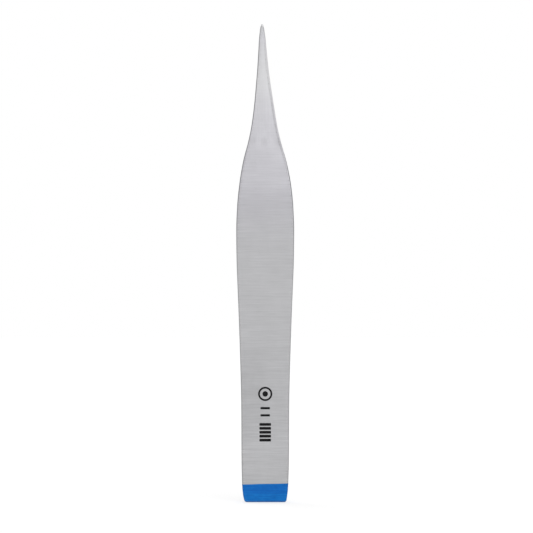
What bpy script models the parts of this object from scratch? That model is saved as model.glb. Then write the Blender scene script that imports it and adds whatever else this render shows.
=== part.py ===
"""Precision tweezers, 90 mm long, as an assembly of separate solids.

Two mirrored stainless arms lie face to face at the heel, where two spot
welds hold them, and a thin coat of blue paint caps the heel end. From the
end of the weld zone each arm springs away from the other, bows outwards to
the belly and runs into a needle tip.

Frame: origin in the centre of the heel's end face, +Z towards the tips,
X across the blade's width, the front arm on the -Y side. A solid can't
bend, so each arm is cut at its effective hinge line, the height where a
cantilever spring of SPRING_LENGTH may be replaced by a pivot.
"""

import math

import bmesh
import bpy
import numpy as np
from mathutils import Matrix

MM = 0.001

# ---------------------------------------------------------------- dimensions
# All in millimetres, heights measured from the heel end.
LENGTH = 90.0
HEEL_END = 10.0  # the arms touch up to here
FINGER_PADS = 45.0  # where the fingers press
SPRING_LENGTH = FINGER_PADS - HEEL_END
PIVOT_Z = HEEL_END + SPRING_LENGTH / 3.0  # effective hinge line of the spring
PIVOT_SLIT = 0.2  # between the two halves of an arm
OPEN_ANGLE = math.radians(3.37)  # each arm, from tips touching to rest

HEEL_GAP = 0.05  # half of the gap between the two heels
TIP_GAP = 0.02  # half of the gap between the closed jaws
EDGE_RADIUS = 0.25  # rounded long edges of each arm
TIP_RADIUS = 0.16  # length of the needle tip's round end, face on
TIP_BACK_OFF = 0.30  # the outer face rounds down to the jaw over this length
TIP_LEFT = 0.20  # share of the thickness that is left at the very end
CORNER_RADIUS = 0.35  # plan radius of the heel's two corners

# (height, full width of the blade)
WIDTH = (
    (0.0, 7.95), (1.2, 8.31), (2.4, 8.58), (4.5, 8.77), (7.0, 8.90),
    (19.0, 9.06), (27.0, 9.45), (34.0, 9.89), (40.0, 10.34), (46.0, 10.78),
    (51.0, 10.88), (56.0, 10.51), (60.0, 9.68), (64.0, 8.23), (68.0, 6.08),
    (70.0, 5.17), (72.0, 4.47), (76.0, 3.37), (79.3, 2.60), (81.2, 2.18),
    (85.0, 1.54), (87.6, 1.13), (88.3, 0.94), (88.8, 0.83), (89.3, 0.66),
    (LENGTH - TIP_RADIUS, 0.34),
)
# (height, X of the blade's middle line): the tips sit a little towards -X
LEAN = (
    (0.0, 0.0), (58.0, 0.0), (66.0, -0.11), (74.0, -0.22),
    (80.0, -0.40), (85.0, -0.51), (LENGTH, -0.60),
)
# (height, outer face's distance from the middle plane with the tips closed)
OUTER = (
    (0.0, 1.15), (HEEL_END, 1.15), (20.0, 1.40), (30.0, 1.98),
    (40.0, 2.60), (50.0, 2.95), (58.0, 2.82), (66.0, 2.22),
    (75.0, 1.44), (84.0, 0.75), (LENGTH, 0.34),
)
# (height, thickness): thinned in the spring zone and again towards the tip
THICKNESS = (
    (0.0, 1.10), (10.5, 1.10), (17.0, 0.66), (28.0, 0.62), (38.0, 0.86),
    (50.0, 1.10), (58.0, 1.10), (75.0, 0.92), (84.0, 0.77), (LENGTH, 0.72),
)

WELD_HEIGHTS = {"weld_nugget_rear": 3.0, "weld_nugget_front": 7.2}
WELD_RADIUS = 1.4
WELD_DEPTH = 0.42  # half of the lens's thickness
WELD_CLEARANCE = 0.05

COAT_TOP = 3.45  # height of the paint's edge on the middle line
COAT_SLOPE = math.tan(math.radians(1.2))  # the edge is higher on the +X side
COAT_THICKNESS = 0.15
COAT_CLEARANCE = 0.05
COAT_RADIUS = 0.40
COAT_INSET = COAT_THICKNESS + COAT_CLEARANCE
COVERED_RADIUS = COAT_RADIUS - COAT_INSET  # edges of the steel under the paint
SHOULDER_Z = COAT_TOP + COAT_CLEARANCE
SHOULDER_RISE = 0.08  # the steel steps out to full size over this height

# -------------------------------------------------------------- mesh density
CORNER_STEPS = 4  # edges around each rounded corner of a section
SHARP_ANGLE = math.radians(35)  # steeper edges are shaded sharp
LENS_SEGMENTS = 24
LENS_RINGS = 10

# Heights of the rings, apart from those at the shoulder and the paint's edge
COVERED_RINGS = (COAT_INSET, COAT_INSET + 0.06, COAT_INSET + 0.2, 0.8, 1.4, 2.1)
COAT_ROUND_ANGLES = (0, 22, 45, 68, 90)  # degrees around the rounded end
COAT_WALL_RINGS = (0.8, 1.4, 2.2, 3.0)
HEEL_SPANS = (  # (start, end, pitch)
    (4.2, HEEL_END, 1.5),
    (HEEL_END + 1.0, PIVOT_Z - PIVOT_SLIT / 2, 1.5),
)
BLADE_SPANS = (  # (start, end, pitch)
    (PIVOT_Z + PIVOT_SLIT / 2, 56.0, 2.6),
    (57.8, 84.0, 1.75),
    (85.2, 88.7, 1.1),
)
NEAR_TIP_RINGS = (89.0, 89.3, 89.5, 89.7, LENGTH - TIP_RADIUS)
TIP_ROUND_ANGLES = (25, 48, 67, 80)  # degrees around the round end

# ----------------------------------------------------------------- materials
STEEL = {
    "name": "brushed_steel",
    "colour": (0.56, 0.57, 0.58, 1.0),
    "roughness": 0.34,
    "metallic": 1.0,
}
WELD_STEEL = {
    "name": "weld_steel",
    "colour": (0.36, 0.36, 0.38, 1.0),
    "roughness": 0.5,
    "metallic": 1.0,
}
PAINT = {
    "name": "blue_paint",
    "colour": (0.014, 0.146, 0.456, 1.0),
    "roughness": 0.3,
    "metallic": 0.0,
}


def material_of(name, colour, roughness, metallic):
    """The material of that name, made on first use."""
    material = bpy.data.materials.get(name) or bpy.data.materials.new(name)
    material.use_nodes = True
    shader = material.node_tree.nodes["Principled BSDF"]
    shader.inputs["Base Color"].default_value = colour
    shader.inputs["Roughness"].default_value = roughness
    shader.inputs["Metallic"].default_value = metallic
    material.diffuse_color = colour
    return material


# ------------------------------------------------------------------ profiles
class Profile:
    """A smooth curve through stations that never overshoots between them.

    It is a piecewise cubic. The slope at an inner station is a weighted
    harmonic mean of its neighbours' slopes, or zero where they change sign.
    """

    def __init__(self, stations):
        self.x = np.array([station[0] for station in stations])
        self.y = np.array([station[1] for station in stations])
        steps = np.diff(self.x)
        rise = np.diff(self.y) / steps
        slope = np.zeros(len(self.x))
        for i in range(1, len(self.x) - 1):
            before, after = rise[i - 1], rise[i]
            if before * after > 0.0:
                weight_before = 2 * steps[i] + steps[i - 1]
                weight_after = steps[i] + 2 * steps[i - 1]
                slope[i] = (weight_before + weight_after) / (
                    weight_before / before + weight_after / after
                )
        slope[0], slope[-1] = rise[0], rise[-1]
        self.slope = slope

    def __call__(self, at):
        i = int(np.clip(np.searchsorted(self.x, at) - 1, 0, len(self.x) - 2))
        span = self.x[i + 1] - self.x[i]
        part = (at - self.x[i]) / span
        return float(
            (2 * part**3 - 3 * part**2 + 1) * self.y[i]
            + (part**3 - 2 * part**2 + part) * span * self.slope[i]
            + (3 * part**2 - 2 * part**3) * self.y[i + 1]
            + (part**3 - part**2) * span * self.slope[i + 1]
        )


full_width = Profile(WIDTH)
outer_closed = Profile(OUTER)
thickness = Profile(THICKNESS)
lean = Profile(LEAN)


def round_inset(radius, height):
    """How far a rounded edge stands in at a height above the piece's end."""
    if height >= radius:
        return 0.0
    return radius - math.sqrt(radius**2 - (radius - height) ** 2)


def tip_share(z, length):
    """Share of the size left at z where a quarter ellipse ends at the tip."""
    beyond = (z - (LENGTH - length)) / length
    return math.sqrt(max(1.0 - beyond**2, 0.0))


def half_width(z):
    """Half of the blade's width, with the heel's corners and the tip rounded."""
    if z > LENGTH - TIP_RADIUS:
        return full_width(LENGTH - TIP_RADIUS) / 2 * tip_share(z, TIP_RADIUS)
    return full_width(z) / 2 - round_inset(CORNER_RADIUS, z)


def sprung(z):
    """How far the relaxed arm stands off its closed shape, as a cantilever."""
    along = z - HEEL_END
    if along <= 0.0:
        return 0.0
    if along >= SPRING_LENGTH:
        return OPEN_ANGLE * (z - PIVOT_Z)
    bend = (3 * SPRING_LENGTH * along**2 - along**3) / (3 * SPRING_LENGTH**2)
    return OPEN_ANGLE * bend


def faces_of_arm(z):
    """(inner, outer) distances of the relaxed arm from the middle plane."""
    outer = outer_closed(z)
    floor = HEEL_GAP if z < FINGER_PADS else TIP_GAP
    inner = max(outer - thickness(z), floor)
    if z > LENGTH - TIP_BACK_OFF:  # only the outer face rounds down
        left = TIP_LEFT + (1.0 - TIP_LEFT) * tip_share(z, TIP_BACK_OFF)
        outer = inner + (outer - inner) * left
    return inner + sprung(z), outer + sprung(z)


# ------------------------------------------------------------- mesh building
def rounded_section(half, near, far, radius):
    """Corner points of a rounded rectangle: |x| <= half, near <= y <= far."""
    # On a thin or narrow section the corners must not meet
    radius = min(radius, 0.49 * (far - near), 0.95 * half)
    points = []
    corners = (  # (centre x, centre y, start angle)
        (half - radius, far - radius, 0.0),
        (-half + radius, far - radius, 90.0),
        (-half + radius, near + radius, 180.0),
        (half - radius, near + radius, 270.0),
    )
    for centre_x, centre_y, start in corners:
        for i in range(CORNER_STEPS + 1):
            angle = math.radians(start + 90.0 * i / CORNER_STEPS)
            points.append((
                centre_x + radius * math.cos(angle),
                centre_y + radius * math.sin(angle),
            ))
    return points


def arm_section(z):
    """The arm's section at full size."""
    inner, outer = faces_of_arm(z)
    return rounded_section(half_width(z), inner, outer, EDGE_RADIUS)


def covered_section(z):
    """The arm's section set in under the paint, its end's edges rounded."""
    inner, outer = faces_of_arm(z)
    outer -= round_inset(COVERED_RADIUS, z - COAT_INSET) + COAT_INSET
    return rounded_section(half_width(z) - COAT_INSET, inner, outer, COVERED_RADIUS)


def add_ring(draft, section, z, side, slope=0.0):
    """One ring of a loft. side is -1 for the front arm, 1 for the back arm."""
    shift = lean(z)
    return [
        draft.verts.new(((x + shift) * MM, side * y * MM, (z + slope * x) * MM))
        for x, y in section
    ]


def skin(draft, rings, cap_last=True):
    """The loft's surface through the rings, with flat ends."""
    for low, high in zip(rings, rings[1:]):
        for i in range(len(low)):
            j = (i + 1) % len(low)
            draft.faces.new((low[i], low[j], high[j], high[i]))
    draft.faces.new(list(reversed(rings[0])))
    if cap_last:
        draft.faces.new(rings[-1])
    bmesh.ops.recalc_face_normals(draft, faces=draft.faces)


def new_object(name, draft, collection, look=None, origin=(0.0, 0.0, 0.0)):
    """An object whose origin is at the given point, in millimetres."""
    place = [coordinate * MM for coordinate in origin]
    bmesh.ops.translate(
        draft, verts=draft.verts, vec=[-coordinate for coordinate in place]
    )
    mesh = bpy.data.meshes.new(name)
    draft.to_mesh(mesh)
    draft.free()
    mesh.shade_smooth()
    mesh.set_sharp_from_angle(angle=SHARP_ANGLE)
    obj = bpy.data.objects.new(name, mesh)
    obj.location = place
    collection.objects.link(obj)
    if look:
        mesh.materials.append(material_of(**look))
    return obj


def spaced(spans):
    """Heights along each (start, end, pitch), about one pitch apart."""
    heights = []
    for start, end, pitch in spans:
        count = max(1, round((end - start) / pitch))
        heights += [start + (end - start) * i / count for i in range(count + 1)]
    return heights


# --------------------------------------------------------------- the pieces
def arm_heel(name, side, collection):
    """The rear of one arm, up to the hinge line, set in under the paint."""
    draft = bmesh.new()
    rings = [add_ring(draft, covered_section(z), z, side) for z in COVERED_RINGS]
    # The shoulder follows the slant of the paint's edge
    for section, z in (
        (covered_section(SHOULDER_Z), SHOULDER_Z),
        (arm_section(SHOULDER_Z), SHOULDER_Z + SHOULDER_RISE),
    ):
        rings.append(add_ring(draft, section, z, side, COAT_SLOPE))
    for z in spaced(HEEL_SPANS):
        rings.append(add_ring(draft, arm_section(z), z, side))
    skin(draft, rings)
    return new_object(name, draft, collection, STEEL)


def arm_blade(name, side, collection):
    """One arm from the hinge line to the needle tip, its origin on the axis."""
    draft = bmesh.new()
    heights = spaced(BLADE_SPANS) + list(NEAR_TIP_RINGS)
    for angle in TIP_ROUND_ANGLES:
        heights.append(LENGTH - TIP_RADIUS * (1 - math.sin(math.radians(angle))))
    skin(draft, [add_ring(draft, arm_section(z), z, side) for z in heights])
    pivot_y = side * sum(faces_of_arm(PIVOT_Z)) / 2
    new_object(name, draft, collection, STEEL, origin=(0.0, pivot_y, PIVOT_Z))


def weld_lens(name, z, grow, collection, look=None):
    """The fused lens of a spot weld; grow makes the pocket's cutter."""
    draft = bmesh.new()
    bmesh.ops.create_uvsphere(
        draft, u_segments=LENS_SEGMENTS, v_segments=LENS_RINGS, radius=MM
    )
    bmesh.ops.rotate(  # poles along Y
        draft,
        verts=draft.verts,
        cent=(0.0, 0.0, 0.0),
        matrix=Matrix.Rotation(math.radians(90), 3, "X"),
    )
    across, deep = WELD_RADIUS + grow, WELD_DEPTH + grow
    bmesh.ops.scale(draft, verts=draft.verts, vec=(across, deep, across))
    bmesh.ops.translate(draft, verts=draft.verts, vec=(0.0, 0.0, z * MM))
    return new_object(name, draft, collection, look, origin=(0.0, 0.0, z))


def weld_pocket(name, z, collection):
    """The hidden cutter that leaves room for a weld lens in the heels."""
    pocket = weld_lens(name, z, WELD_CLEARANCE, collection)
    pocket.hide_render = True
    pocket.display_type = "WIRE"
    return pocket


def coat_section(z):
    """The paint's outer section around both arms, its end's edges rounded."""
    outer = faces_of_arm(z)[1] - round_inset(COAT_RADIUS, z)
    return rounded_section(half_width(z), -outer, outer, COAT_RADIUS)


def end_coat(name, collection):
    """The paint over the heel: an open skin with Solidify growing inwards."""
    draft = bmesh.new()
    heights = [
        COAT_RADIUS * (1 - math.cos(math.radians(angle)))
        for angle in COAT_ROUND_ANGLES
    ]
    heights += COAT_WALL_RINGS
    rings = [add_ring(draft, coat_section(z), z, 1) for z in heights]
    rings.append(add_ring(draft, coat_section(COAT_TOP), COAT_TOP, 1, COAT_SLOPE))
    skin(draft, rings, cap_last=False)
    # Solidify grows against the normals, so they have to point outwards
    first = draft.faces[0]
    if first.normal.dot(first.calc_center_median()) <= 0.0:
        bmesh.ops.reverse_faces(draft, faces=draft.faces)
    coat = new_object(name, draft, collection, PAINT)
    wall = coat.modifiers.new("wall", "SOLIDIFY")
    wall.thickness = COAT_THICKNESS * MM
    wall.offset = -1.0
    wall.use_even_offset = True


def cut(piece, cutter):
    """Take the cutter's shape out of the piece."""
    pocket = piece.modifiers.new(cutter.name, "BOOLEAN")
    pocket.operation = "DIFFERENCE"
    pocket.solver = "EXACT"
    pocket.object = cutter


def new_collection(name):
    """A collection linked to the scene."""
    collection = bpy.data.collections.new(name)
    bpy.context.scene.collection.children.link(collection)
    return collection


def main():
    for obj in list(bpy.data.objects):
        bpy.data.objects.remove(obj, do_unlink=True)
    tweezers = new_collection("precision_tweezers")
    cutters = new_collection("cutters")

    heels = []
    for place, side in (("front", -1), ("back", 1)):
        heels.append(arm_heel(f"{place}_arm_heel", side, tweezers))
        arm_blade(f"{place}_arm_blade", side, tweezers)
    end_coat("end_coat", tweezers)
    for name, z in WELD_HEIGHTS.items():
        weld_lens(name, z, 0.0, tweezers, WELD_STEEL)
        pocket = weld_pocket(f"{name}_pocket", z, cutters)
        for heel in heels:
            cut(heel, pocket)


main()
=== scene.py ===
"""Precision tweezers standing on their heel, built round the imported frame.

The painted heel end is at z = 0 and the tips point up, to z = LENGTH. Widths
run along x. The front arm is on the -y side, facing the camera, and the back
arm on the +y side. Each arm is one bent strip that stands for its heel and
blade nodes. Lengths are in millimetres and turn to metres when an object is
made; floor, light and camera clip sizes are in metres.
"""

import math

import bmesh
import bpy
import numpy as np
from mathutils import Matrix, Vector


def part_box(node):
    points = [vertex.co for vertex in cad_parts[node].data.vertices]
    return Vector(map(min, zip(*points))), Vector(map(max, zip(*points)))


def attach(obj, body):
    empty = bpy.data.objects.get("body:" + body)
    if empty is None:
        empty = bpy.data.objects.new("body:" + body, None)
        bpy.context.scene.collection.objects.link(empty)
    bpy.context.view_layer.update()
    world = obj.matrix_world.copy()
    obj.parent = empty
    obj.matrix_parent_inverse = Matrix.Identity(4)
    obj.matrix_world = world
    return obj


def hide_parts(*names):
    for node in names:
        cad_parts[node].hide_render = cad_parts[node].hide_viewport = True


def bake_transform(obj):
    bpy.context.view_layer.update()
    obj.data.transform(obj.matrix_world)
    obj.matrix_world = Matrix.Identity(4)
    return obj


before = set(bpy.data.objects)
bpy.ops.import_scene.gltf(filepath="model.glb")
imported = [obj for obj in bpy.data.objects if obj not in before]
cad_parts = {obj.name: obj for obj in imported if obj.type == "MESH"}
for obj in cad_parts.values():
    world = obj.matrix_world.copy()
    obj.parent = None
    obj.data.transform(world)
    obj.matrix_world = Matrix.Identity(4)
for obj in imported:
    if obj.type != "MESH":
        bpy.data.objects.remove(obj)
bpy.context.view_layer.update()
MM = 0.001

# ---------------------------------------------------------------- dimensions
LENGTH = 90.0
HEEL_END = 10.0  # the strip starts to spring here
FINGER_PADS = 45.0  # and is straight from here on
SPRING_LENGTH = FINGER_PADS - HEEL_END
PIVOT_Z = HEEL_END + SPRING_LENGTH / 3.0
OPEN_ANGLE = math.radians(3.37)

# least distances of the closed inner faces from the middle plane
HEEL_GAP = 0.05
TIP_GAP = 0.02
HEEL_OVERLAP = 0.0005  # how far the pressed heels pass the middle plane

TIP_RADIUS = 0.16  # of the tip, seen from the front
TIP_START = LENGTH - TIP_RADIUS
TIP_BACK_OFF = 0.30  # length over which the tip's outer face falls in
TIP_LEFT = 0.20  # share of the thickness left at the very tip
CORNER_RADIUS = 0.35  # of the heel end's corners
OUTER_ROUND, INNER_ROUND = 0.24, 0.12  # of the arm's long edges

COAT_RADIUS = 0.40
COAT_INSET = 0.20  # how far the steel lies under the paint's surface
COAT_TOP = 3.45
COAT_SLANT = math.tan(math.radians(1.2))
SHOULDER_Z = COAT_TOP + 0.008  # the steel steps out to full size here

FRONT_SIDE, BACK_SIDE = -1, 1  # signs of y
FRONT_SEED, BACK_SEED = 1.0, 4.0
BACK_REST_SHIFT = 5.0  # moves the back arm's texture away from the front's

# (height, full width in x)
WIDTH = (
    (0.0, 7.95), (1.2, 8.31), (2.4, 8.58), (4.5, 8.77), (7.0, 8.90), (19.0, 9.06),
    (27.0, 9.45), (34.0, 9.89), (40.0, 10.34), (46.0, 10.78), (51.0, 10.88),
    (56.0, 10.51), (60.0, 9.68), (64.0, 8.23), (68.0, 6.08), (70.0, 5.17),
    (72.0, 4.47), (76.0, 3.37), (79.3, 2.60), (81.2, 2.18), (85.0, 1.54),
    (87.6, 1.13), (88.3, 0.94), (88.8, 0.83), (89.3, 0.66), (TIP_START, 0.34),
)
# (height, shift of the section's middle in x)
LEAN = (
    (0.0, 0.0), (58.0, 0.0), (66.0, -0.11), (74.0, -0.22),
    (80.0, -0.40), (85.0, -0.51), (90.0, -0.60),
)
# (height, distance of the closed arm's outer face from the middle plane)
OUTER = (
    (0.0, 1.15), (10.0, 1.15), (20.0, 1.40), (30.0, 1.98), (40.0, 2.60), (50.0, 2.95),
    (58.0, 2.82), (66.0, 2.22), (75.0, 1.44), (84.0, 0.75), (90.0, 0.34),
)
# (height, thickness of the strip)
THICKNESS = (
    (0.0, 1.10), (10.5, 1.10), (17.0, 0.66), (28.0, 0.62), (38.0, 0.86),
    (50.0, 1.10), (58.0, 1.10), (75.0, 0.92), (84.0, 0.77), (90.0, 0.72),
)
# (height, fall of the outer face from its middle to its long edges): flat
# sheet on the body, ground to a shallow crown on the neck and the jaw
CROWN = ((0.0, 0.0), (54.0, 0.0), (62.0, 0.03), (72.0, 0.10), (84.0, 0.12), (90.0, 0.08))


# ------------------------------------------------------------ curves and maths
class Profile:
    """A smooth curve through stations that never overshoots between them."""

    def __init__(self, stations):
        self.x, self.y = np.array(stations).T
        steps = np.diff(self.x)
        rise = np.diff(self.y) / steps
        self.slope = np.zeros(len(self.x))
        for i in range(1, len(self.x) - 1):
            before, after = rise[i - 1], rise[i]
            if before * after > 0.0:
                weight_before = 2 * steps[i] + steps[i - 1]
                weight_after = steps[i] + 2 * steps[i - 1]
                self.slope[i] = (weight_before + weight_after) / (
                    weight_before / before + weight_after / after
                )
        self.slope[0], self.slope[-1] = rise[0], rise[-1]

    def __call__(self, at):
        i = int(np.clip(np.searchsorted(self.x, at) - 1, 0, len(self.x) - 2))
        span = self.x[i + 1] - self.x[i]
        t = (at - self.x[i]) / span
        return float(
            (2 * t**3 - 3 * t**2 + 1) * self.y[i]
            + (t**3 - 2 * t**2 + t) * span * self.slope[i]
            + (3 * t**2 - 2 * t**3) * self.y[i + 1]
            + (t**3 - t**2) * span * self.slope[i + 1]
        )


def clamp(value):
    return min(max(value, 0.0), 1.0)


def smoothstep(value):
    t = clamp(value)
    return t * t * (3.0 - 2.0 * t)


def drawn_in(radius, distance):
    """How far a rounded edge is drawn in at this distance from its end."""
    short = max(radius - distance, 0.0)
    return radius - math.sqrt(max(radius**2 - short**2, 0.0))


def wave(x, y, seed):
    """Slow, smooth, repeatable unevenness, between about -1 and 1."""
    return (
        math.sin(x * 0.71 + 1.3 * seed)
        + math.sin(y * 0.93 + 2.1 * seed + 0.6 * math.sin(x * 0.37))
        + math.sin((x + y) * 0.53 + 0.7 * seed)
    ) / 3.0


def face_wobble(x, z, seed):
    """The strip was flattened and ground by hand, so it isn't quite true."""
    return 0.0022 * wave(x * 0.9, z * 0.55, seed)


def dip_run(x, y):
    """How far the paint's edge runs over its middle height: it slants, and it
    wanders a little, as the film ran while it was wet."""
    return COAT_SLANT * x + 0.035 * wave(x * 1.6, y * 1.1 + 0.345, 2.0)


# ------------------------------------------------------------- the arm's shape
full_width = Profile(WIDTH)
outer_closed = Profile(OUTER)
thickness = Profile(THICKNESS)
lean = Profile(LEAN)
crown_fall = Profile(CROWN)


def half_width(z):
    if z > TIP_START:
        beyond = (z - TIP_START) / TIP_RADIUS
        return full_width(TIP_START) / 2 * math.sqrt(max(1.0 - beyond**2, 0.0))
    return full_width(z) / 2 - drawn_in(CORNER_RADIUS, z)


def sprung(z):
    """How far the relaxed arm stands out from the closed one."""
    x = z - HEEL_END
    if x <= 0.0:
        return 0.0
    if x >= SPRING_LENGTH:
        return OPEN_ANGLE * (z - PIVOT_Z)
    return OPEN_ANGLE * (3 * SPRING_LENGTH * x**2 - x**3) / (3 * SPRING_LENGTH**2)


def faces_of_arm(z):
    """(inner, outer) distances of the relaxed arm from the middle plane."""
    outer = outer_closed(z)
    floor = HEEL_GAP if z < FINGER_PADS else TIP_GAP
    inner = max(outer - thickness(z), floor)
    if z > LENGTH - TIP_BACK_OFF:
        beyond = (z - (LENGTH - TIP_BACK_OFF)) / TIP_BACK_OFF
        left = TIP_LEFT + (1.0 - TIP_LEFT) * math.sqrt(max(1.0 - beyond**2, 0.0))
        outer = inner + (outer - inner) * left
    return inner + sprung(z), outer + sprung(z)


def match_frame(tolerance=0.05):
    """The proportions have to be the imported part's own."""
    blade_low, blade_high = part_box("front_arm_blade")
    coat_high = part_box("end_coat")[1]
    for got, want in (
        (blade_high.z, LENGTH),
        (blade_high.x, max(half_width(z) for z in range(40, 60))),
        (-blade_low.y, max(faces_of_arm(z)[1] for z in range(40, 90))),
        (coat_high.y, OUTER[0][1]),
    ):
        if abs(got - want * MM) > tolerance * MM:
            raise ValueError(f"the frame and the arm differ: {got} m, {want} mm")


match_frame()


# -------------------------------------------------------------- mesh helpers
def mesh_object(name, points, faces, smooth_angle, rest=None, edge=None, seam_shade=None):
    """A piece from points in millimetres. rest, edge and the seam's painted shade become
    attributes.
    """
    mesh = bpy.data.meshes.new(name)
    mesh.from_pydata([tuple(c * MM for c in point) for point in points], [], faces)
    mesh.validate()
    bm = bmesh.new()
    bm.from_mesh(mesh)
    bmesh.ops.recalc_face_normals(bm, faces=bm.faces)
    bm.to_mesh(mesh)
    bm.free()
    for label, kind, field, values in (
        ("rest_mm", "FLOAT_VECTOR", "vector", rest),
        ("edge_mm", "FLOAT", "value", edge),
        ("seam_shade", "FLOAT", "value", seam_shade),
    ):
        if values is not None:
            layer = mesh.attributes.new(label, kind, "POINT")
            layer.data.foreach_set(field, np.asarray(values, np.float32).ravel())
    mesh.shade_smooth()
    mesh.set_sharp_from_angle(angle=math.radians(smooth_angle))
    return link_object(name, mesh)


def link_object(name, data):
    obj = bpy.data.objects.new(name, data)
    bpy.context.scene.collection.objects.link(obj)
    return obj


def loft_faces(rings, around):
    """Quads between rings of equally many points, with both ends closed."""
    faces = []
    for ring in range(rings - 1):
        low, high = ring * around, (ring + 1) * around
        for i in range(around):
            j = (i + 1) % around
            faces.append((low + i, low + j, high + j, high + i))
    faces.append(tuple(range(around - 1, -1, -1)))
    faces.append(tuple(range((rings - 1) * around, rings * around)))
    return faces


# ------------------------------------------------------------------ the arms
OUT_STEPS, EDGE_STEPS, SIDE_STEPS, IN_STEPS = 26, 7, 3, 14


def arm_section(half, inner, outer, crown, round_out, round_in, crisp):
    """Points of one section, and how far each lies from the long outer edge.

    crisp makes the +x outer edge that much sharper than the -x one. The edge
    distance falls below zero down the sides."""
    fall = min(crown, 0.45 * (outer - inner))
    room = outer - inner - fall
    round_out = min(round_out, 0.46 * room, 0.9 * half)
    round_in = min(round_in, 0.40 * room, 0.9 * half)
    sharp = round_out * (1.0 - crisp)
    low = inner + round_in
    points, edge = [], []

    def top(x):
        return outer - fall * (x / half) ** 2

    def outer_edge(side, radius, turns):
        flat = half - radius
        for turn in turns:
            a = math.pi / 2 * turn / EDGE_STEPS
            drop = radius * (1 - math.cos(a))
            points.append((side * (flat + radius * math.sin(a)), top(flat) - drop))
            edge.append(radius * (1 - math.sin(a)) - 0.4 * drop)

    def side_wall(side, radius, steps_down):
        high = top(half - radius) - radius
        for down in steps_down:
            points.append((side * half, high + (low - high) * down / SIDE_STEPS))
            edge.append(-0.4 * radius - 0.2 * down)

    def inner_edge(side, turns):
        for turn in turns:
            a = math.pi / 2 * turn / EDGE_STEPS
            x = side * (half - round_in * (1 - math.cos(a)))
            points.append((x, low - round_in * math.sin(a)))
            edge.append(-0.6)

    flat, flat_sharp = half - round_out, half - sharp
    for i in range(OUT_STEPS + 1):  # outer face, from +x to -x
        # more points near the long edges, where the face turns
        t = 0.55 * math.cos(math.pi * i / OUT_STEPS) + 0.45 * (1.0 - 2.0 * i / OUT_STEPS)
        x = (flat_sharp - flat) / 2 + (flat_sharp + flat) / 2 * t
        points.append((x, top(x)))
        edge.append(half - abs(x))
    outer_edge(-1, round_out, range(1, EDGE_STEPS + 1))
    side_wall(-1, round_out, range(1, SIDE_STEPS + 1))
    inner_edge(-1, range(1, EDGE_STEPS + 1))
    for i in range(1, IN_STEPS):  # inner face, back to +x
        x = -(half - round_in) + 2 * (half - round_in) * i / IN_STEPS
        points.append((x, inner))
        edge.append(half - abs(x))
    inner_edge(1, range(EDGE_STEPS, -1, -1))
    side_wall(1, sharp, range(SIDE_STEPS - 1, -1, -1))
    outer_edge(1, sharp, range(EDGE_STEPS - 1, 0, -1))
    return points, edge


def bare_heights():
    body = list(np.arange(3.60, 86.0, 0.42))
    jaw = list(np.arange(86.1, TIP_START - 0.05, 0.13))
    point = [
        LENGTH - TIP_RADIUS * (1 - math.sin(math.radians(a)))
        for a in (0, 12, 24, 36, 47, 57, 66, 74, 80)
    ]
    return body + jaw + point


def arm_rings(seed):
    """Yields (z, half, inner, outer, crown, round_out, round_in, share) for each
    section. share is how much of the paint's edge line the section follows."""
    for z in (COAT_INSET, COAT_INSET + 0.05, COAT_INSET + 0.2, 1.0, 2.0, 3.0):
        inner, outer = faces_of_arm(z)
        outer -= COAT_INSET + drawn_in(0.2, z - COAT_INSET)
        yield z, half_width(z) - COAT_INSET, inner, outer, 0, 0.2, 0.1, 0.0
    # the steel steps out to its full size right above the paint's edge
    z = SHOULDER_Z
    inner, outer = faces_of_arm(z)
    half = half_width(z)
    yield z, half - COAT_INSET, inner, outer - COAT_INSET, 0, 0.2, 0.1, 1.0
    yield z + 0.012, half, inner, outer, 0, 0.25, INNER_ROUND, 1.0
    for z in bare_heights():
        inner, outer = faces_of_arm(z)
        half = half_width(z)
        # the paint's edge line fades out over the next millimetre or so
        share = max(0.0, 1.0 - (z - SHOULDER_Z) / 1.6)
        if 4.5 < z < 86.0:  # hand ground sides wander by a hundredth or so
            half += 0.006 * wave(z * 0.8, 3.0, seed + 1.7) - 0.006
        yield z, half, inner, outer, crown_fall(z), OUTER_ROUND, INNER_ROUND, share


def touching(z, inner):
    """The inner face, with the heels pressed together as far as the welds go."""
    return inner - (HEEL_GAP + HEEL_OVERLAP) * (1.0 - smoothstep((z - 8.8) / 2.2))


def build_arm(name, side, seed):
    """One strip from the heel, under the paint, to the needle tip."""
    points, rest, edge, seam_shade = [], [], [], []
    rings = 0
    for z, half, inner, outer, crown, round_out, round_in, share in arm_rings(seed):
        rings += 1
        inner = touching(z, inner)
        # the neck's +x edge was ground last and is crisper, short of the point
        crisp = 0.65 * smoothstep(min((z - 60.0) / 8.0, max((89.4 - z) / 4.0, 0.0)))
        section, away = arm_section(half, inner, outer, crown, round_out, round_in, crisp)
        edge += away
        middle = sum(faces_of_arm(z)) / 2
        shift = lean(z)
        for x, y in section:
            uneven = z > 4.0 and (z > HEEL_END + 2.0 or y > middle)
            wobble = face_wobble(x, z, seed) if uneven else 0.0
            run = share * dip_run(x, side * y)
            points.append((x + shift, side * (y + wobble), z + run))
            rest.append((x, y - middle + (BACK_REST_SHIFT if side > 0 else 0.0), z))
            # painted shade, and the dark line of the joint, where the two heels meet
            seam_shade.append(clamp(1.0 - (y - inner) / 0.14) * clamp((15.0 - z) / 4.0))
    faces = loft_faces(rings, len(section))
    return mesh_object(name, points, faces, 40.0, rest, edge, seam_shade)


# ------------------------------------------------------------- the end paint
CORNER_STEPS = 8
WIDE_STEPS, DEEP_STEPS = 24, 12
COAT_INSIDE = -0.13  # growth of the film's inner surface
# (distance under the dip line, growth): the bead that surface tension leaves
BEAD = (
    (0.22, 0.010), (0.17, 0.018), (0.12, 0.026), (0.07, 0.029),
    (0.03, 0.026), (0.005, 0.016), (0.0, 0.004), (0.0, -0.02),
)


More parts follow.
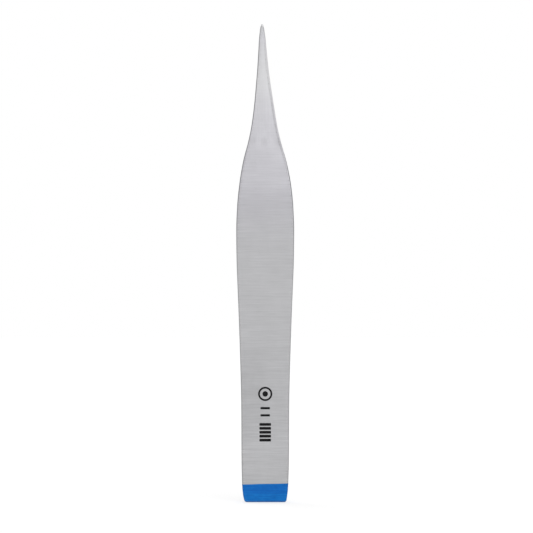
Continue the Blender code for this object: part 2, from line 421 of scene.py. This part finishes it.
def coat_section(half, deep, grow, groove):
    """A rounded rectangle, drawn in a little where it bridges the two heels."""
    half, deep = half + grow, deep + grow
    radius = min(COAT_RADIUS + grow, 0.9 * deep)
    corners = []
    for k, (side_x, side_y) in enumerate(((1, 1), (-1, 1), (-1, -1), (1, -1))):
        angles = [
            math.radians(90.0 * k + 90.0 * i / CORNER_STEPS) for i in range(CORNER_STEPS + 1)
        ]
        corners.append([
            (
                side_x * (half - radius) + radius * math.cos(a),
                side_y * (deep - radius) + radius * math.sin(a),
            )
            for a in angles
        ])
    points = []
    for k, corner in enumerate(corners):
        points += corner
        (x0, y0), (x1, y1) = corner[-1], corners[(k + 1) % 4][0]
        steps = (WIDE_STEPS, DEEP_STEPS)[k % 2]
        for i in range(1, steps):
            t = i / steps
            points.append((x0 + (x1 - x0) * t, y0 + (y1 - y0) * t))
    grooved = []
    for x, y in points:
        if abs(x) > half - 0.02:
            x -= math.copysign(groove * math.exp(-((y / 0.22) ** 2)), x)
        grooved.append((x, y))
    return grooved


def coat_rings():
    """Yields (z, growth, groove, share of the dip line's run) for each section."""
    for angle in (0, 10, 22, 34, 45, 56, 68, 80, 90):  # end face and its round edge
        yield COAT_RADIUS * (1 - math.cos(math.radians(angle))), 0.0, 0.03, 0.0
    for i in range(1, 22):
        z = COAT_RADIUS + (COAT_TOP - 0.28 - COAT_RADIUS) * i / 21
        yield z, 0.004, 0.045, (z / COAT_TOP) ** 2
    for down, grow in BEAD:
        yield COAT_TOP - down, grow, 0.045, 1.0
    # and back down inside, clear of the steel
    for z in (COAT_TOP - 0.02, 2.8, 2.0, 1.2, 0.6, 0.35, 0.2):
        yield z, COAT_INSIDE, 0.0, (z / COAT_TOP) ** 2


def build_coat():
    points, rest = [], []
    rings = 0
    for z, grow, groove, share in coat_rings():
        rings += 1
        half = half_width(z)
        outer = faces_of_arm(z)[1] - drawn_in(COAT_RADIUS, z)
        section = coat_section(half, outer, grow, groove)
        # the -x corner of the heel end was taken off a little more
        stoned = 0.0 if grow == COAT_INSIDE else 0.10 * max(1.0 - z / 1.1, 0.0)
        for x, y in section:
            if x < 0.0:
                x *= 1.0 - stoned / half
            points.append((x, y, z + share * dip_run(x, y)))
            rest.append((x, y, z))
    return mesh_object("end_coat_film", points, loft_faces(rings, len(section)), 50.0, rest)


# ----------------------------------------------------------------- the marks
# Black ink on the front arm, from the top: a ring with a dot, two short bars
# and a block of five wider ones.
INK = 0.012  # thickness of the ink over the steel
INK_SUNK = 0.02  # how far the slab reaches into the steel
RING_Z = 20.45
RING_INSIDE, RING_OUTSIDE = 1.00, 1.34
DOT_INSIDE, DOT_OUTSIDE = 0.02, 0.52
RING_ROWS = 3
BAR_HEIGHTS = (17.75, 16.40)
BAR_SIZE = {"wide": 1.8, "high": 0.42, "corner": 0.06}
BLOCK_Z, BLOCK_PITCH = 13.20, 0.74
BLOCK_SIZE = {"wide": 2.20, "high": 0.52, "corner": 0.05}


def ink_point(x, z, lift):
    """A point this far over the front arm's outer face."""
    return (x, -(faces_of_arm(z)[1] + face_wobble(x, z, FRONT_SEED) + lift), z)


def ink_patch(grid, closed):
    """Points and faces of a thin slab over a grid of (x, z) rows."""
    rows, cols = len(grid), len(grid[0])
    points = [ink_point(x, z, lift) for lift in (INK, -INK_SUNK) for row in grid for x, z in row]
    under = rows * cols
    faces = []

    def wall(a, b):
        faces.append((a, a + under, b + under, b))

    pairs = [(c, (c + 1) % cols) for c in range(cols if closed else cols - 1)]
    for low in range(0, under - cols, cols):
        high = low + cols
        for c, d in pairs:
            quad = (low + c, low + d, high + d, high + c)
            faces.append(quad)
            faces.append(tuple(i + under for i in reversed(quad)))
    top = under - cols
    for c, d in pairs:
        wall(c, d)
        wall(top + d, top + c)
    if not closed:
        for low in range(0, top, cols):
            wall(low + cols, low)
            wall(low + cols - 1, low + 2 * cols - 1)
    return points, faces


def ring_grid(inside, outside, steps):
    """A ring round (0, RING_Z), as rows from inside to outside."""
    rows = []
    for row in range(RING_ROWS + 1):
        radius = inside + (outside - inside) * row / RING_ROWS
        angles = [2 * math.pi * i / steps for i in range(steps)]
        rows.append([(radius * math.cos(a), RING_Z + radius * math.sin(a)) for a in angles])
    return rows


def bar_grid(middle_z, wide, high, corner):
    """A bar with its corners taken off, as rows from bottom to top."""
    rows = []
    steps = max(3, round(high / 0.15))
    cols = max(4, round(wide / 0.25))
    for row in range(steps + 1):
        z = -high / 2 + high * row / steps
        half = wide / 2 - (corner if row in (0, steps) else 0.0)
        rows.append([(-half + 2 * half * c / cols, middle_z + z) for c in range(cols + 1)])
    return rows


def ink_object(name, grids, closed):
    points, faces = [], []
    for grid in grids:
        patch_points, patch_faces = ink_patch(grid, closed)
        faces += [tuple(i + len(points) for i in face) for face in patch_faces]
        points += patch_points
    return mesh_object(name, points, faces, 30.0)


def build_marks():
    ring = ring_grid(RING_INSIDE, RING_OUTSIDE, steps=56)
    dot = ring_grid(DOT_INSIDE, DOT_OUTSIDE, steps=32)
    bars = [bar_grid(z, **BAR_SIZE) for z in BAR_HEIGHTS]
    block = [bar_grid(BLOCK_Z + BLOCK_PITCH * row, **BLOCK_SIZE) for row in range(-2, 3)]
    return [
        ink_object("mark_ring", [ring], closed=True),
        ink_object("mark_dot", [dot], closed=True),
        ink_object("mark_bars", bars, closed=False),
        ink_object("mark_block", block, closed=False),
    ]


# ------------------------------------------------------------- shader helpers
class Graph:
    """A small helper for building the nodes of a material or a world.

    Any value given to a node may be a number, a tuple or another's output."""

    def __init__(self, owner):
        owner.use_nodes = True
        self.owner = owner
        self.nodes = owner.node_tree.nodes
        self.links = owner.node_tree.links

    def add(self, kind, **values):
        node = self.nodes.new(kind)
        for key, value in values.items():
            setattr(node, key, value)
        return node

    def feed(self, socket, value):
        if hasattr(value, "is_linked"):
            self.links.new(value, socket)
        else:
            socket.default_value = value

    def surface(self, inputs):
        """Feeds the material's shader, and returns the material."""
        for name, value in inputs.items():
            self.feed(self.nodes["Principled BSDF"].inputs[name], value)
        return self.owner

    def math(self, operation, a, b=0.0, c=0.0):
        node = self.add("ShaderNodeMath", operation=operation)
        for socket, value in zip(node.inputs, (a, b, c)):
            self.feed(socket, value)
        return node.outputs[0]

    def plus(self, a, b):
        return self.math("ADD", a, b)

    def minus(self, a, b):
        return self.math("SUBTRACT", a, b)

    def times(self, product, *factors):
        for factor in factors:
            product = self.math("MULTIPLY", product, factor)
        return product

    def scale_add(self, value, by, base):
        return self.math("MULTIPLY_ADD", value, by, base)

    def vary(self, noise, by, base):
        """base, moved both ways by a noise centred on 0.5."""
        return self.scale_add(self.minus(noise, 0.5), by, base)

    def attribute(self, name, output="Fac"):
        return self.add("ShaderNodeAttribute", attribute_name=name).outputs[output]

    def place(self, output="Object"):
        return self.add("ShaderNodeTexCoord").outputs[output]

    def camera_ray(self):
        return self.add("ShaderNodeLightPath").outputs["Is Camera Ray"]

    def split(self, vector):
        node = self.add("ShaderNodeSeparateXYZ")
        self.feed(node.inputs[0], vector)
        return node.outputs

    def rest(self):
        """(x, y, z) of a point on the relaxed piece, in millimetres."""
        return self.split(self.attribute("rest_mm", "Vector"))

    def vector(self, x, y, z):
        node = self.add("ShaderNodeCombineXYZ")
        for socket, value in zip(node.inputs, (x, y, z)):
            self.feed(socket, value)
        return node.outputs[0]

    def noise(self, vector, scale=1.0, detail=2.0, rough=0.5):
        node = self.add("ShaderNodeTexNoise")
        self.feed(node.inputs["Vector"], vector)
        node.inputs["Scale"].default_value = scale
        node.inputs["Detail"].default_value = detail
        node.inputs["Roughness"].default_value = rough
        return node.outputs["Fac"]

    def grain(self, axes, per_mm, shift=0.0, **noise):
        """Noise stretched by its frequency per millimetre along each axis."""
        x, y, z = axes
        place = self.vector(
            self.times(x, per_mm[0]),
            self.scale_add(y, per_mm[1], shift),
            self.times(z, per_mm[2]),
        )
        return self.noise(place, **noise)

    def span(self, value, over, to=(0.0, 1.0), smooth=True):
        """Maps the range over to the range to, clamped outside it."""
        node = self.add("ShaderNodeMapRange", clamp=True)
        node.interpolation_type = "SMOOTHSTEP" if smooth else "LINEAR"
        self.feed(node.inputs["Value"], value)
        names = ("From Min", "From Max", "To Min", "To Max")
        for name, number in zip(names, (*over, *to)):
            node.inputs[name].default_value = number
        return node.outputs["Result"]

    def band(self, value, rise, fall):
        """1 between rise and fall, fading to 0 over each of them."""
        return self.times(self.span(value, over=rise), self.span(value, over=fall, to=(1.0, 0.0)))

    def ramp(self, value, stops):
        """A colour ramp through (position, colour) stops."""
        node = self.add("ShaderNodeValToRGB")
        self.feed(node.inputs["Fac"], value)
        node.color_ramp.interpolation = "B_SPLINE" if len(stops) > 4 else "LINEAR"
        elements = node.color_ramp.elements
        elements[0].position, elements[0].color = stops[0]
        elements[1].position, elements[1].color = stops[-1]
        for position, colour in stops[1:-1]:
            elements.new(position).color = colour
        return node.outputs["Color"]

    def mix(self, factor, a, b):
        node = self.add("ShaderNodeMix", data_type="FLOAT")
        for index, value in ((0, factor), (2, a), (3, b)):
            self.feed(node.inputs[index], value)
        return node.outputs[0]

    def mix_colour(self, factor, a, b, blend="MIX"):
        node = self.add("ShaderNodeMix", data_type="RGBA", blend_type=blend)
        for index, value in ((0, factor), (6, a), (7, b)):
            self.feed(node.inputs[index], value)
        return node.outputs[2]

    def scale_colour(self, colour, by):
        node = self.add("ShaderNodeVectorMath", operation="SCALE")
        self.feed(node.inputs[0], colour)
        self.feed(node.inputs["Scale"], by)
        return node.outputs[0]

    def bump(self, height, strength, distance):
        node = self.add("ShaderNodeBump")
        node.inputs["Strength"].default_value = strength
        node.inputs["Distance"].default_value = distance
        self.feed(node.inputs["Height"], height)
        return node.outputs[0]


def new_material(name):
    return Graph(bpy.data.materials.new(name))


# ----------------------------------------------------------------- materials
# (height, red, and green and blue as shares of it): the steel's colour
# along the arm, with painted light and shade in it for the arm's bends and
# tilts. The drawn and ground neck is the brighter end, partly from its finish
# and partly as painted light.
STEEL_TONE_AND_PAINTED_LIGHT = (
    (0.0, 0.480, 1.000, 1.020), (6.0, 0.484, 1.000, 1.022), (9.0, 0.500, 1.000, 1.025),
    (12.0, 0.494, 1.000, 1.025), (18.5, 0.474, 1.000, 1.025), (23.0, 0.479, 1.000, 1.025),
    (28.5, 0.513, 1.000, 1.025), (36.0, 0.520, 1.000, 1.024), (44.0, 0.518, 1.000, 1.024),
    (50.0, 0.507, 0.998, 1.028), (54.0, 0.502, 0.992, 1.040), (57.4, 0.494, 0.989, 1.046),
    (58.8, 0.532, 0.989, 1.046), (61.0, 0.527, 0.989, 1.046), (63.5, 0.514, 0.989, 1.046),
    (66.5, 0.526, 0.989, 1.045), (68.2, 0.566, 0.990, 1.044), (69.6, 0.636, 0.990, 1.044),
    (71.2, 0.668, 0.990, 1.043), (74.0, 0.680, 0.991, 1.040), (77.0, 0.720, 0.997, 1.030),
    (79.5, 0.752, 1.000, 1.021), (83.0, 0.752, 1.000, 1.021), (86.0, 0.718, 0.998, 1.032),
    (87.6, 0.720, 0.996, 1.050), (88.9, 0.660, 1.000, 1.034), (90.0, 0.570, 1.004, 1.020),
)


def steel_finish(graph, axes):
    """(brightness texture, ground, fine, relief): ground is 0 on the belt
    ground body and 1 on the hand ground neck."""
    z = axes[2]
    # across the arm: belt grinding of the sheet, seen as fine level lines
    fine = graph.grain(axes, per_mm=(0.22, 0.5, 9.0), detail=3.0, rough=0.6)
    medium = graph.grain(axes, per_mm=(0.10, 0.3, 3.1), shift=11.0, rough=0.55)
    short = graph.grain(axes, per_mm=(0.34, 0.4, 4.6), shift=29.0)
    broad = graph.grain(axes, per_mm=(0.05, 0.1, 0.55), shift=23.0)
    # single deeper scratches, shorter than the arm is wide
    scratch = graph.grain(axes, per_mm=(0.42, 0.8, 17.0), shift=37.0, detail=1.0, rough=0.4)
    scratch = graph.span(scratch, over=(0.66, 0.80))
    # along the neck: the hand grinding that drew the tip out
    drawn = graph.grain(axes, per_mm=(8.0, 3.0, 0.26), shift=51.0, detail=3.0, rough=0.6)
    drawn_wide = graph.grain(axes, per_mm=(2.6, 1.5, 0.10), shift=67.0)
    # the two finishes meet in an uneven line
    uneven = graph.grain(axes, per_mm=(0.6, 0.6, 0.3), shift=5.0)
    ground = graph.span(graph.scale_add(uneven, by=7.0, base=z), over=(66.0, 76.0))

    lines = graph.vary(fine, by=0.085, base=0.0)
    lines = graph.vary(medium, by=0.080, base=lines)
    lines = graph.vary(short, by=0.060, base=lines)
    lines = graph.scale_add(scratch, by=-0.034, base=lines)
    # the belt bit deeper where the strip is stiff, over the heel
    lines = graph.times(lines, graph.span(z, over=(14.0, 42.0), to=(1.50, 1.10)))
    streaks = graph.vary(drawn, by=0.075, base=0.0)
    streaks = graph.vary(drawn_wide, by=0.055, base=streaks)
    # a trace of the belt's lines is left under the hand grinding
    streaks = graph.scale_add(lines, by=0.35, base=streaks)
    texture = graph.mix(ground, lines, streaks)
    texture = graph.vary(broad, by=0.045, base=texture)
    blotch = graph.grain(axes, per_mm=(0.35, 0.4, 0.16), shift=80.0, detail=3.0, rough=0.6)
    blotch_depth = graph.span(z, over=(20.0, 38.0), to=(0.075, 0.045))
    blotch = graph.times(graph.minus(blotch, 0.5), blotch_depth)
    texture = graph.plus(blotch, texture)

    fine_share, scratch_share = 0.6, -0.5  # of the belt's relief
    belt = graph.plus(graph.times(fine, fine_share), graph.times(scratch, scratch_share))
    return texture, ground, fine, graph.mix(ground, belt, drawn)


def steel_level(graph, axes, texture, edge, polish_and_highlight):
    """The steel's brightness, as a factor on its tone, with painted shade and painted highlights
    in it.
    """
    x, _, z = axes
    contrast = 1.9
    level = graph.plus(1.0, graph.times(texture, contrast))
    # painted shade across the spring: darker towards -x, lighter towards +x
    side_to_side_shade = graph.times(
        graph.band(z, rise=(10.0, 16.0), fall=(24.0, 32.0)),
        graph.span(x, over=(-4.2, 4.2), to=(-0.035, 0.030), smooth=False),
    )
    level = graph.plus(level, side_to_side_shade)
    # painted highlight: the polished line just inside each edge is painted a little lighter
    level = graph.scale_add(polish_and_highlight, by=0.020, base=level)
    # the +x edge of the neck is painted brighter, a painted highlight, with a line of painted
    # shade along its bevel
    bevelled = graph.times(
        graph.span(x, over=(0.1, 0.5)),
        graph.span(z, over=(60.0, 68.0)),
        graph.span(z, over=(86.0, 89.4), to=(1.0, 0.0)),
    )
    # painted shade: the sides and long edges are painted darker than the face, except on the +x
    # edge of the neck
    outer_face_share = graph.span(edge, over=(-0.10, 0.20))
    painted_side_light = graph.mix(bevelled, a=0.80, b=1.03)
    level = graph.times(level, graph.mix(outer_face_share, painted_side_light, 1.0))
    bevel_shade_line = graph.times(
        graph.band(edge, rise=(0.08, 0.22), fall=(0.34, 0.66)),
        graph.span(z, over=(77.0, 83.0), to=(0.20, 0.12)),
        bevelled,
    )
    level = graph.minus(level, bevel_shade_line)
    # and the -x edge was left square, with a line of painted shade along it
    left_neck_edge = graph.times(
        graph.span(x, over=(-0.5, -0.1), to=(1.0, 0.0)),
        graph.span(z, over=(65.0, 75.0)),
    )
    left_edge_shade = graph.times(graph.span(edge, over=(0.06, 0.34), to=(1.0, 0.0)), left_neck_edge)
    level = graph.times(level, graph.scale_add(left_edge_shade, by=-0.11, base=1.0))
    # painted shade, and the dark line of the joint, where the two heels meet
    seam_shade = graph.attribute("seam_shade")
    return graph.times(level, graph.scale_add(seam_shade, by=-0.80, base=1.0))


def steel_material():
    graph = new_material("brushed_arm_steel")
    axes = graph.rest()
    edge = graph.attribute("edge_mm")
    texture, ground, fine, relief = steel_finish(graph, axes)
    # the long edges were stoned last, along their length: a line of polish
    # lies just inside each edge, smoother, and painted a little lighter as a
    # painted highlight
    polish_and_highlight = graph.band(edge, rise=(0.05, 0.30), fall=(0.34, 0.80))
    level = steel_level(graph, axes, texture, edge, polish_and_highlight)
    # the colour along the arm holds painted light and shade as well as the finish
    tone_and_painted_light = graph.ramp(
        graph.math("DIVIDE", axes[2], LENGTH),
        [
            (height / LENGTH, (red, red * green, red * blue, 1.0))
            for height, red, green, blue in STEEL_TONE_AND_PAINTED_LIGHT
        ],
    )
    rough = graph.vary(fine, by=0.10, base=0.36)
    return graph.surface({
        "Base Color": graph.scale_colour(tone_and_painted_light, level),
        # at a glancing angle scratched steel loses its shine
        "Specular Tint": (0.55, 0.55, 0.56, 1.0),
        "Roughness": graph.scale_add(polish_and_highlight, by=-0.08, base=rough),
        "Metallic": 1.0,
        "Anisotropic": 0.55,
        # scratches spread light across themselves: up and down on the body,
        # sideways on the neck
        "Tangent": graph.vector(ground, 0.0, graph.minus(1.0, ground)),
        "Normal": graph.bump(relief, strength=0.35, distance=0.000012),
    })


def paint_material():
    graph = new_material("blue_dip_paint")
    axes = graph.rest()
    z = axes[2]
    cloud = graph.grain(axes, per_mm=(0.8, 0.9, 1.4), shift=3.0, detail=3.0, rough=0.6)
    drag = graph.grain(axes, per_mm=(0.26, 0.6, 5.0), shift=9.0)
    colour = graph.ramp(
        graph.vary(drag, by=1.1, base=cloud),
        [
            (0.25, (0.0022, 0.117, 0.450, 1.0)),
            (0.50, (0.0032, 0.136, 0.498, 1.0)),
            (0.75, (0.0058, 0.160, 0.540, 1.0)),
        ],
    )
    # it drained thinner, and so paler, over the end
    drained = graph.span(z, over=(1.3, 1.9), to=(1.0, 0.0))
    colour = graph.mix_colour(drained, colour, (1.30, 1.19, 1.07, 1.0), blend="MULTIPLY")
    # and thinnest round the end's own edge
    rim = graph.span(z, over=(0.10, 0.50), to=(0.10, 0.0))
    colour = graph.mix_colour(rim, colour, b=(0.20, 0.48, 0.60, 1.0))
    # the film runs thin over the dip line's last few hundredths
    thin_share = 0.55
    thin = graph.span(z, over=(COAT_TOP - 0.10, COAT_TOP + 0.03))
    thin = graph.times(thin, thin_share)
    colour = graph.mix_colour(thin, colour, b=(0.24, 0.58, 0.72, 1.0))
    # painted shade: towards glancing angles the colour is painted darker and its
    # shine turned down, except near the end's bottom edge
    facing = graph.add("ShaderNodeLayerWeight")
    facing.inputs["Blend"].default_value = 0.5
    glancing_shade = graph.times(
        graph.span(facing.outputs["Facing"], over=(0.35, 0.95)),
        graph.span(z, over=(0.35, 0.9)),
    )
    peel = graph.grain(axes, per_mm=(2.2, 2.2, 2.2), shift=15.0)
    return graph.surface({
        "Base Color": graph.scale_colour(colour, by=graph.mix(glancing_shade, a=1.0, b=0.68)),
        "Metallic": 0.0,
        "Roughness": graph.vary(cloud, by=0.12, base=0.30),
        "Specular IOR Level": graph.mix(glancing_shade, a=0.13, b=0.02),
        "Normal": graph.bump(peel, strength=0.25, distance=0.00003),
    })


def ink_material():
    graph = new_material("black_marking_ink")
    speck = graph.noise(graph.place(), scale=9000.0, detail=2.0, rough=0.6)
    dark, pale = (0.0022, 0.0022, 0.0026, 1.0), (0.0090, 0.0090, 0.0100, 1.0)
    return graph.surface({
        "Base Color": graph.ramp(speck, [(0.30, dark), (0.75, pale)]),
        "Roughness": graph.scale_add(speck, by=0.2, base=0.50),
        "Specular IOR Level": 0.14,
        "Metallic": 0.0,
    })


def weld_material():
    graph = new_material("fused_weld_steel")
    grain = graph.noise(graph.place(), scale=4000.0, detail=4.0, rough=0.65)
    dark, pale = (0.16, 0.155, 0.16, 1.0), (0.34, 0.34, 0.36, 1.0)
    return graph.surface({
        "Base Color": graph.ramp(grain, [(0.3, dark), (0.7, pale)]),
        "Roughness": graph.scale_add(grain, by=0.3, base=0.4),
        "Metallic": 1.0,
    })


def floor_material():
    """Lit up to just past white, so that only a contact shadow shows."""
    graph = new_material("pale_floor")
    seen = graph.camera_ray()
    pale = graph.mix(seen, a=0.86, b=0.42)
    out = graph.add("ShaderNodeVectorMath", operation="LENGTH")
    graph.feed(out.inputs[0], graph.place())
    # the lights fall off towards the rim, so it glows a little more there
    glow = graph.span(out.outputs["Value"], over=(0.45, 1.5), to=(0.60, 0.68))
    return graph.surface({
        "Roughness": 0.9,
        "Specular IOR Level": 0.0,
        "Emission Color": (1.0, 1.0, 1.0, 1.0),
        "Base Color": graph.vector(pale, pale, pale),
        "Emission Strength": graph.times(seen, glow),
    })


# ------------------------------------------------------ floor, light, camera
FLOOR_RADIUS, FLOOR_DROP = 1.6, 0.00005  # metres
FRONT_LIGHT = 1.05  # strength of the tent
SIDE_LIGHT = 0.28  # share of it that is left at the sides
LIGHT_SIZE = 0.9  # metres
# (name, place in metres, power in watts)
LIGHTS = (("key", (0.25, -0.9, 0.75), 3.2), ("fill", (-0.5, 0.7, 0.7), 2.0))

LENS, SENSOR = 250.0, 36.0
VIEW_WIDTH = 100.27174  # of the picture, at the front arm's face
FACE_DISTANCE = 3.2  # of that face from the middle plane
# the tweezers' middle sits a little left of and above the picture's middle
CAMERA_RIGHT, CAMERA_UP = 0.244565, -0.526756


def build_floor():
    bm = bmesh.new()
    bmesh.ops.create_circle(bm, cap_ends=True, segments=96, radius=FLOOR_RADIUS)
    mesh = bpy.data.meshes.new("floor")
    bm.to_mesh(mesh)
    bm.free()
    floor = link_object("floor", mesh)
    floor.location = (0.0, 0.0, -FLOOR_DROP)
    mesh.materials.append(floor_material())


def build_world():
    """White to the camera; to the steel, a tent with darker sides."""
    world = bpy.data.worlds.new("studio")
    bpy.context.scene.world = world
    graph = Graph(world)
    graph.nodes.clear()
    x, _, z = graph.split(graph.place("Generated"))
    sides = graph.span(graph.math("ABSOLUTE", x), over=(0.45, 0.98), to=(1.0, SIDE_LIGHT))
    lift = graph.span(z, over=(-0.6, 0.9), to=(0.86, 1.16))
    slope = graph.span(x, over=(-1.0, 1.0), to=(0.97, 1.03))
    tent = graph.add("ShaderNodeBackground")
    graph.feed(tent.inputs["Strength"], graph.times(sides, lift, slope, FRONT_LIGHT))
    white = graph.add("ShaderNodeBackground")
    white.inputs["Color"].default_value = (1.0, 1.0, 1.0, 1.0)
    mix = graph.add("ShaderNodeMixShader")
    for socket, source in zip(mix.inputs, (graph.camera_ray(), tent.outputs[0], white.outputs[0])):
        graph.links.new(source, socket)
    out = graph.add("ShaderNodeOutputWorld")
    graph.links.new(mix.outputs[0], out.inputs[0])


def soft_light(name, place, power):
    """A disk that faces the middle of the tweezers."""
    light = bpy.data.lights.new(name, "AREA")
    light.shape = "DISK"
    light.size = LIGHT_SIZE
    light.energy = power
    obj = link_object(name, light)
    obj.location = place
    aim = Vector((0.0, 0.0, LENGTH / 2 * MM)) - Vector(place)
    obj.rotation_euler = aim.to_track_quat("-Z", "Y").to_euler()


def build_camera():
    camera = bpy.data.cameras.new("camera")
    camera.lens = LENS
    camera.sensor_width = SENSOR
    camera.sensor_fit = "HORIZONTAL"
    camera.clip_start, camera.clip_end = 0.01, 20.0
    obj = link_object("camera", camera)
    bpy.context.scene.camera = obj
    away = VIEW_WIDTH * LENS / SENSOR + FACE_DISTANCE
    obj.location = (CAMERA_RIGHT * MM, -away * MM, (LENGTH / 2 + CAMERA_UP) * MM)
    obj.rotation_euler = (math.radians(90.0), 0.0, 0.0)


def set_view():
    settings = bpy.context.scene.view_settings
    settings.view_transform = "Standard"
    settings.look = "None"
    settings.exposure = 0.0
    settings.gamma = 1.0
    bpy.context.scene.display_settings.display_device = "sRGB"


# ------------------------------------------------------------ build the pieces
front_arm = build_arm("front_arm", FRONT_SIDE, FRONT_SEED)
back_arm = build_arm("back_arm", BACK_SIDE, BACK_SEED)
coat = build_coat()
marks = build_marks()

steel = steel_material()
for arm in (front_arm, back_arm):
    arm.data.materials.append(steel)
coat.data.materials.append(paint_material())
ink = ink_material()
for mark in marks:
    mark.data.materials.append(ink)
weld_steel = weld_material()
for name in ("weld_nugget_rear", "weld_nugget_front"):
    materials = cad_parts[name].data.materials
    materials.clear()
    materials.append(weld_steel)


# ---------------------------------------------- the paint moves with the heel; the arms and marks are only baked in place
def bend(piece):
    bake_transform(piece)


bend(front_arm)
bend(back_arm)
for mark in marks:
    bend(mark)
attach(coat, "heel")
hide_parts("front_arm_heel", "front_arm_blade")
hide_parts("back_arm_heel", "back_arm_blade")
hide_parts("end_coat")

build_floor()
build_world()
for name, place, power in LIGHTS:
    soft_light(name, place, power)
build_camera()
set_view()
